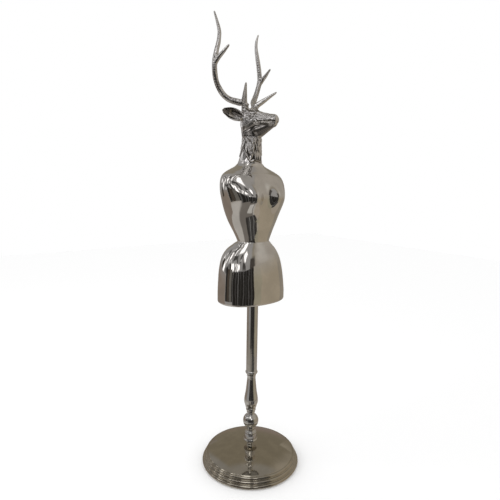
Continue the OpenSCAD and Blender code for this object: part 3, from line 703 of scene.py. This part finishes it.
def head_field(p):
    """Distance to the skin of the head, before its fur, in its own frame."""
    m = np.concatenate([np.abs(p[..., :1]), p[..., 1:]], -1)
    skin = ellipsoid(m, at(0, -15, 1396), (40, 43, 35))
    skin = join(skin, cone(m, at(19, -26, 1366), 23, at(13, 26, 1385), 20), 10)
    skin = join(skin, cone(m, at(22, -30, 1388), 20, at(19, -27, 1336), 17), 9)
    skin = join(skin, cone(m, at(0, 8, 1388), 30, at(0, 82, 1382), 20), 10)
    skin = join(skin, ellipsoid(m, at(0, 82, 1386), (19.0, 14.0, 15)), 7)
    skin = join(skin, cone(m, at(0, 79, 1369), 12.5, at(0, 20, 1351), 27), 6)
    skin = join(skin, ellipsoid(m, at(0, 83, 1366.5), (11, 9.5, 8.5)), 6)
    skin = join(skin, cone(m, at(0, -16, 1270), 35.5, at(0, -16, 1385), 35.5), 12)
    skin = join(skin, ellipsoid(m, at(28, 5, 1408), (11, 17, 8)), 6)
    for node in ("bush_left", "bush_right"):
        top = object_to_head(bush_place(node))
        stem = cone(p, (top[0] * 0.9, top[1], top[2] - 20), 15, (top[0], top[1], top[2] + 4), 12.3)
        skin = join(skin, stem, 7)
        reach = np.hypot(p[..., 0] - top[0], p[..., 1] - top[1])
        skin = np.maximum(skin, np.where(reach < 20, p[..., 2] - top[2], -9.0))
        skin = np.maximum(skin, -np.maximum(reach - 10.05, np.abs(p[..., 2] - top[2]) - 23))
    skin = carve(skin, ellipsoid(m, at(38, 9, 1397), (7, 13, 8)), 4)
    skin = join(skin, ellipsoid(m, at(30, 9, 1397), (8.4, 8.8, 8.2)), 0.8)
    upper_lid = [
        (*at(34.5, -8, 1396), 1.6), (*at(37.5, 0, 1403), 2.4),
        (*at(37, 11, 1404.5), 2.4), (*at(33, 21, 1397), 1.4)]
    lower_lid = [
        (*at(34.5, -8, 1395), 1.3), (*at(37, 3, 1389.5), 1.8),
        (*at(34.5, 14, 1389.5), 1.6), (*at(32, 21, 1395), 1.3)]
    tear_line = [(*at(31, 24, 1394), 2.2), (*at(25.5, 38, 1387), 1.6)]
    nostril = [(*at(9, 96, 1394), 2.0), (*at(14, 91, 1392), 3.4), (*at(18.5, 84, 1389), 1.8)]
    mouth = [
        (*at(0, 97, 1373), 1.6), (*at(12, 92, 1372), 2.0), (*at(18.5, 80, 1370), 2.2),
        (*at(20.5, 66, 1371), 2.0), (*at(21, 54, 1375), 1.0)]
    lip_split = [(*at(0, 100, 1384), 1.2), (*at(0, 99, 1374), 1.2)]
    jaw_fold = [
        (*at(42, -28, 1341), 1.5), (*at(38, -5, 1352), 2.6),
        (*at(33, 20, 1364), 2.4), (*at(25, 48, 1373), 1.2)]
    skin = join(skin, stroke(m, upper_lid), 2)
    skin = join(skin, stroke(m, lower_lid), 2)
    skin = carve(skin, stroke(m, tear_line), 3)
    skin = carve(skin, stroke(m, nostril), 2)
    skin = carve(skin, stroke(m, mouth), 2)
    skin = carve(skin, stroke(m, lip_split), 2)
    skin = carve(skin, stroke(m, jaw_fold), 5)
    return np.maximum(skin, THROAT_Z - p[..., 2])


def under_jaw(points):
    """1 on the smooth skin below the edge of the jaw, 0 above it and on the neck; the head's colour is
    darkened there as painted shade.
    """
    edge = np.interp(-points[:, 1], JAW_LINE[0], JAW_LINE[1])
    below_edge = smoothstep(points[:, 2], edge + 3, edge - 2)
    above_throat = smoothstep(points[:, 2], THROAT_Z + 1, THROAT_Z + 7)
    return below_edge * above_throat * smoothstep(points[:, 1], 54, 40)


def fur(points):
    """Height of the chased fur on the head: along the muzzle, back over the cheeks, down the neck."""
    x, reach, z = points[:, 0], -points[:, 1], points[:, 2]
    curl = value_noise(points, 17.0, 41) * 5.0
    lean = np.radians(-28.0) + 0.5 * smoothstep(z, 1385, 1415)
    along = reach * np.cos(lean) + z * np.sin(lean)
    across = -reach * np.sin(lean) + z * np.cos(lean) + curl
    face = np.stack([along, across, x], -1)
    tufts = ridges(face, (34.0, 8.5, 8.5), 42) * 0.86 + ridges(face, (16.0, 4.2, 4.2), 43) * 0.14
    round_neck = np.arctan2(x, points[:, 1] - 16.0) * 36.0
    hang = np.stack([round_neck + curl, z, np.hypot(x, reach + 16)], -1)
    locks = ridges(hang, (9.0, 46.0, 40.0), 44) * 0.75 + ridges(hang, (3.4, 18.0, 40.0), 45) * 0.25
    neck = smoothstep(z, 1346, 1332) * smoothstep(reach, 30, 18)
    cheek = np.exp(-(((reach + 8) / 34) ** 2 + ((z - 1371) / 25) ** 2) ** 1.5)
    cheek = cheek * smoothstep(np.abs(x), 12, 24)
    depth = (0.75 + 0.4 * smoothstep(z, 1400, 1414)) * (1 - 0.8 * smoothstep(reach, 66, 84))
    depth = depth * (1 - 0.88 * cheek)
    smooth_eye = 1 - 0.85 * np.exp(-(((reach - 9) / 10) ** 2 + ((z - 1397) / 8) ** 2) ** 2)
    jaw = under_jaw(points)
    depth = depth * (1 - 0.94 * jaw)
    on_face = (tufts - 0.72) * 3.2 * depth * smooth_eye * (1 - neck)
    on_neck = (locks - 0.70) * 4.2 * neck * (1 - 0.92 * jaw)
    return on_face + on_neck


def make_head():
    step = 1.15
    low, high = (-52.0, -108.0, THROAT_Z - 3), (52.0, 58.0, 1444.0)
    grid = sample_grid(low, high, step)
    points, quads = net(head_field(grid), low, step)
    out = normals(points, quads)
    height = fur(points)
    keep = smoothstep(points[:, 2], THROAT_Z + 0.2, THROAT_Z + 2.0)
    for node in ("bush_left", "bush_right"):
        top = bush_place(node)
        place = head_to_object(points)
        near = np.hypot(place[:, 0] - top[0], place[:, 1] - top[1])
        keep = keep * np.where((near < 11.2) | ((near < 20) & (place[:, 2] > top[2] - 1.2)), 0.0, 1.0)
    points = points + out * (height * keep)[:, None]
    # Darker in the fur's hollows, and painted shade on the skin under the jaw.
    hollow_and_painted_shade = np.maximum(smoothstep(-height, 0.3, 1.8), under_jaw(points) * 0.78)
    piece("stag_head", head_to_object(points) * MM, quads,
          "torso", "nickel_chased", ("head_shell",), hollow_and_painted_shade=hollow_and_painted_shade)


# ------------------------------------------------------------------ ears

def make_ear(side, name, node):
    """A leaf rolled into a tube at its root, open to the front, with a thick rim."""
    root, tip = np.array([36.0, 35.0, 1396.0]), np.array([104.0, 75.0, 1417.0])
    axis = (tip - root) / np.linalg.norm(tip - root)
    length = np.linalg.norm(tip - root)
    face = np.array([0.25, -1.0, 0.15])
    face -= face @ axis * axis
    face /= np.linalg.norm(face)
    rise = np.cross(axis, face)
    rise *= np.sign(rise[2])
    rows, half = 60, 34
    rings, cup_painted_shade = [], []
    for k in range(rows + 1):
        s = k / rows
        wide = 9.0 * (1 - s) ** 2 + 20.5 * math.sin(math.pi * min(1.0, 0.04 + s ** 0.92 * 0.90)) ** 0.72
        wide = max(wide * (1 - smoothstep(s, 0.93, 1.0) * 0.55), 1.2)
        spread = math.radians(165 * (1 - s) ** 2.2 + 78 * (1 - (1 - s) ** 2.2))
        bend = wide / max(math.sin(min(spread, math.pi / 2)), 0.3)
        thick = 3.2 - 1.4 * s
        bow = math.sin(math.pi * s)
        middle = root + axis * length * s - face * 5.0 * bow + rise * 3.0 * bow
        for radius, turns in ((bend, 1), (bend - thick, -1)):
            a = np.linspace(-spread, spread, half)[::turns]
            edge = 1.0 + 0.02 * np.sin(a * 9 + s * 21)
            depth = (np.cos(a) - math.cos(min(spread, math.pi / 2))) * 0.62
            ring = middle + np.outer(np.sin(a) * radius * edge, rise) - np.outer(depth * radius, face)
            rings.append(ring)
            place = np.stack([a * 9, np.full(half, s * 22), np.full(half, 3.0 * side)], -1)
            fold = value_noise(place, (1.3, 7.0, 5.0), 51)
            if turns < 0:
                rings[-1] = ring + np.outer(fold * 0.5, face)
            # Painted shade: the upper part of the ear's inner face is darkened, fading out near the tip.
            cup = smoothstep(np.cos(a - 0.8), 0.45, 0.85) * smoothstep(s, 1.0, 0.82)
            cup_painted_shade.append(cup if turns < 0 else np.zeros(half))
    rings = np.array(rings).reshape(rows + 1, 2 * half, 3)
    rings[:, :, 0] *= side
    flat = rings.reshape(-1, 3)
    faces = grid_faces(rows + 1, 2 * half).tolist()
    if side < 0:
        faces = [f[::-1] for f in faces]
    n = 2 * half
    for row in (0, rows):
        for i in range(half - 1):
            a, b, c, d = (row * n + j for j in (i, i + 1, n - 2 - i, n - 1 - i))
            strip = [a, b, c, d] if (row == 0) != (side > 0) else [d, c, b, a]
            faces.append(strip)
    piece(name, head_to_object(flat) * MM, faces,
          "torso", "nickel_chased", (node,), hollow_and_painted_shade=np.concatenate(cup_painted_shade))


# ------------------------------------------------------------------ neck

# Height, half-width, half-depth, centre x, centre y
NECK = [
    [1226, 49, 46, 0, 33], [1238, 45, 44, 0, 31], [1256, 41, 41, -1, 27], [1284, 37, 38, -3, 21],
    [1307, 35.5, 36.5, -4, 17], [1322, 35, 36, -5, 15]]
# Where the hair ends round the neck: degrees from the front, height
FRINGE = [
    [-180, 1240], [-152, 1262], [-122, 1250], [-82, 1275], [-51, 1247], [-31, 1229], [-14, 1236], [8, 1233],
    [24, 1229], [52, 1250], [84, 1275], [122, 1250], [152, 1262], [180, 1240]]


def hair(columns, heights):
    """Height of the neck's hair: pointed locks in rows, each row's tips over the roots below."""
    around = np.linspace(-180, 180, columns, endpoint=False)
    turn = math.pi / 180 * 38.0
    a, z = np.meshgrid(around, heights)
    fringe = np.interp(around, *np.array(FRINGE).T)
    slope = np.gradient(fringe, around) / turn
    height = np.zeros(a.shape)
    draw = np.random.default_rng(7)
    rows, count = 5, 26
    for row in range(rows, -1, -1):
        for k in range(count):
            centre = ((k + 0.5 * (row % 2) + draw.uniform(-0.18, 0.18)) / count * 360.0) % 360 - 180
            i = int((centre + 180) / 360 * columns) % columns
            tip = fringe[i] + row * 24.0 + draw.uniform(0, 9)
            long = draw.uniform(36, 46)
            v = (tip + long - z) / long
            near = (v > 0) & (v < 1) & (np.abs((a - centre + 180) % 360 - 180) < 18)
            down = v[near]
            shift = -np.clip(slope[i], -1.6, 1.6) * 6.0 * down ** 1.5 + draw.uniform(-2.5, 2.5) * down ** 2
            away = ((a[near] - centre + 180) % 360 - 180) * turn - shift
            wide = draw.uniform(5.0, 7.0) * np.minimum(1, 0.5 + 2 * down) * (1 - down ** 3.0) + 0.05
            d = np.clip(np.abs(away) / wide, 0, 1)
            strand = 0.22 * np.cos(away * 2.6 + k)
            lock = (0.4 + 3.4 * down) * np.sqrt(1 - d * d) * (d < 1) + strand * (1 - d)
            height[near] = np.maximum(height[near], lock)
    under = smoothstep(z, fringe + 3.0, fringe + 8.0) * 0.45
    rim = 2.6 * np.exp(-((z - fringe - 4.0) / 3.0) ** 2) * np.where(np.abs(a + 52) < 34, 1.0, 0.35)
    return np.maximum(np.maximum(height, under), rim)


def make_neck():
    columns = 420
    s = smooth_curve(NECK, 26)
    a = np.radians(np.linspace(-180, 180, columns, endpoint=False))
    height = hair(columns, s[:, 0])
    height *= smoothstep(s[:, 0], 1321.9, 1320.5)[:, None]
    x = s[:, 3:4] + (s[:, 1:2] + height) * np.sin(a)
    y = s[:, 4:5] - (s[:, 2:3] + height) * np.cos(a)
    skin = np.stack([x, y, np.broadcast_to(s[:, :1], x.shape)], -1)
    rings = [skin]
    stud_hole_and_lining = (
        (1322, 6.5, 6.5, 0, 22), (1317, 6.5, 6.5, 0, 22), (1317, 30, 31, -5, 15), (SEAT_Z, 44, 41, 0, 33))
    for z, wide, deep, cx, cy in stud_hole_and_lining:
        ring = np.stack([cx + wide * np.sin(a), cy - deep * np.cos(a), np.full(columns, z)], -1)
        rings.append(ring[None])
    rings = np.vstack(rings)
    hollow_and_painted_shade = np.zeros(rings.shape[:2])
    bare = height < 0.02
    hollow_and_painted_shade[:len(s)] = np.where(bare, 0.0, smoothstep(height, 1.3, 0.4))
    piece("stag_neck", rings.reshape(-1, 3) * MM, grid_faces(len(rings), columns, closed=True),
          "torso", "nickel_chased", ("neck_shell",), hollow_and_painted_shade=hollow_and_painted_shade.ravel())


# ------------------------------------------------------------------ antlers

# x, y, z, radius from the burr to the point: places mostly as a fitting program gave them, in whole
# millimetres, with the roots moved
ANTLERS = {
    "left": (
        [[27, 43, 1443, 12], [33, 56, 1450, 11.5], [46, 80, 1466, 10.5], [68, 100, 1487, 10],
         [91, 114, 1524, 9.5], [107, 124, 1562, 9.3], [103, 124, 1604, 8.6], [94, 125, 1650, 7.6],
         [93, 132, 1684, 6], [98, 137, 1714, 4.6], [107, 139, 1739, 2.6]],
        [[107, 124, 1550, 7], [114, 112, 1566, 6.3], [118, 95, 1581, 4.8], [120, 73, 1599, 2.3]],
        [[24, 34, 1444, 9], [40, 25, 1456, 8], [64, 14, 1474, 5.8], [96, 0.5, 1498, 2.4]]),
    "right": (
        [[-49, 24, 1447, 12], [-62, 31, 1450, 11.5], [-90, 46, 1459, 10.5], [-115, 55, 1480, 10],
         [-138, 56, 1516, 9.5], [-151, 48, 1557, 9.3], [-152, 43, 1590, 9], [-143, 47, 1622, 8.4],
         [-130, 54, 1658, 7.4], [-126, 57, 1692, 6.4], [-134, 60, 1726, 4.6], [-144.5, 61, 1754, 2.6]],
        [[-151, 44, 1578, 7], [-144, 29, 1596, 6.3], [-135, 10, 1613, 4.8], [-126.5, -8, 1630, 2.3]],
        [[-41, 18, 1447, 9], [-48, 6, 1460, 8], [-60, -15, 1479, 5.8], [-76.5, -44, 1504, 2.4]]),
}
SPIGOT_R, SPIGOT_H, SEAT_GAP = 6.0, 18.0, 0.3


def make_antler(side):
    """Beam, two tines and a pearled burr, grown as one smooth casting."""
    seat = bush_place("bush_" + side)
    step = 1.2
    paths = [smooth_curve(path, 5) for path in ANTLERS[side]]
    every = np.vstack(paths)
    low = every[:, :3].min(0) - 22
    high = every[:, :3].max(0) + 22
    shape = np.ceil((high - low) / step).astype(int) + 1
    field = np.full(shape, 30.0, np.float32)

    def grow(a, b, blend):
        reach = max(a[3], b[3]) + 8
        first = np.maximum(np.floor((np.minimum(a[:3], b[:3]) - reach - low) / step).astype(int), 0)
        last = np.minimum(np.ceil((np.maximum(a[:3], b[:3]) + reach - low) / step).astype(int) + 1, shape)
        block = tuple(slice(i, j) for i, j in zip(first, last))
        axes = [low[k] + step * np.arange(first[k], last[k]) for k in range(3)]
        p = np.stack(np.meshgrid(*axes, indexing="ij"), -1).astype(np.float32)
        field[block] = join(field[block], cone(p, a[:3], a[3], b[:3], b[3]), blend)

    burr_r, pearls_round = 12.6, 15
    root = [*(seat + [0, 0, 3]), burr_r]
    for path in paths:
        if path is not paths[1]:
            grow(np.array(root), path[0], 3.0)
        for a, b in zip(path[:-1], path[1:]):
            grow(a, b, 1.5 if path is paths[0] else 5.0)
    for k in range(pearls_round):
        angle = 2 * math.pi * k / pearls_round
        pearl = seat + np.array([math.cos(angle), math.sin(angle), 0.0]) * burr_r + [0, 0, 4.2]
        grow(np.array([*pearl, 3.1]), np.array([*(pearl + [0, 0, 1.0]), 2.9]), 1.0)
    floor = seat[2] + SEAT_GAP
    heights = low[2] + step * np.arange(shape[2])
    away_x = low[0] + step * np.arange(shape[0])[:, None] - seat[0]
    away_y = low[1] + step * np.arange(shape[1]) - seat[1]
    away = np.hypot(away_x, away_y)
    under = np.where(away[..., None] < 19, floor - heights, -30.0)
    points, quads = net(np.maximum(field, under.astype(np.float32)), low, step)
    out = normals(points, quads)
    apart = np.linalg.norm(points[:, None] - every[None, :, :3], axis=-1) - every[:, 3]
    nearest = apart.argmin(1)
    near = every[nearest]
    spread = (points - near[:, :3]) / np.maximum(near[:, 3:], 1)
    along = np.cumsum(np.r_[0, np.linalg.norm(np.diff(every[:, :3], axis=0), axis=1)])[nearest]
    groove = np.column_stack([spread * 1.7, along / 48.0])
    twisted = np.stack([groove[:, 0] + groove[:, 3], groove[:, 1] - groove[:, 3], groove[:, 2]], -1)
    furrows = ridges(twisted, 0.85, 61)
    knobs = value_noise(points, (9.0, 9.0, 11.0), 62)
    pearls = np.clip(value_noise(points, 4.2, 63), 0, 1) * smoothstep(points[:, 2], 1500, 1450)
    thin = np.clip(near[:, 3] / 10.0, 0.2, 1.0)
    height = ((furrows - 0.7) * 0.8 + knobs * 0.35 + pearls * 0.5) * thin
    height *= smoothstep(points[:, 2], floor + 0.5, floor + 4.0)
    piece(side + "_antler_casting", (points + out * height[:, None]) * MM, quads,
          side + "_antler", "nickel_chased", ("antler_" + side,), hollow_and_painted_shade=smoothstep(-height, 0.0, 0.5) * 0.8)
    pin = [
        [0.05, -SPIGOT_H], [SPIGOT_R - 0.6, -SPIGOT_H], [SPIGOT_R, 0.6 - SPIGOT_H],
        [SPIGOT_R, 2.0], [0.05, 2.0]]
    lathe(side + "_antler_spigot", np.array(pin) * MM, side + "_antler", "steel_fitting", (), 48,
          centre=seat * MM)


make_head()
make_ear(1, "left_ear", "ear_left")
make_ear(-1, "right_ear", "ear_right")
make_neck()
for antler_side in ANTLERS:
    make_antler(antler_side)


# ------------------------------------------------------------------ the rest of the CAD keeps its own shape

def dress_cad_nodes():
    slots = {s["node"]: s["material_slot"] for s in frame["record"]["subparts"]}
    for name, node in frame["nodes"].items():
        node.data.materials.clear()
        node.data.materials.append(MATERIALS[slots[name]])


dress_cad_nodes()
